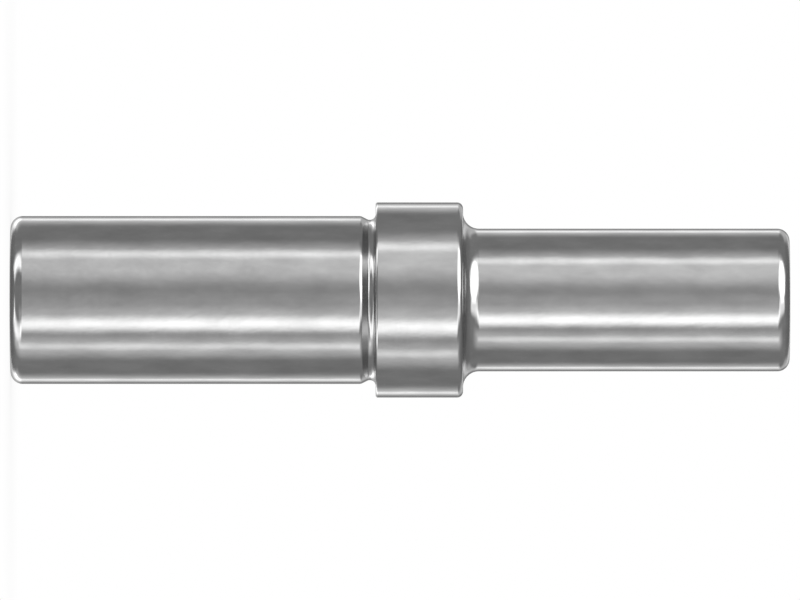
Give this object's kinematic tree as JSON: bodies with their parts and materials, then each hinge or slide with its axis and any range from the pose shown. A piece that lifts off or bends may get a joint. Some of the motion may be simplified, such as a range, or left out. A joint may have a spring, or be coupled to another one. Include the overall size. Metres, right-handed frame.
{
  "type": "water pump shaft",
  "caption": "Stepped steel shaft with a raised collar between a larger and a smaller ground journal, a relief groove beside the collar and rounded ends.",
  "frame": {"origin": "centre of the flat end face of the large journal, which is the bottom of the part", "axes": "+Z along the shaft's axis, from the large journal's end to the small journal's end; the part is round about it, so +X and +Y are free"},
  "size_m": [0.0232, 0.0232, 0.0928],
  "materials": {
    "steel": "fine ground"
  },
  "bodies": {
    "root": {"shaft": "steel"}
  },
  "joints": []
}
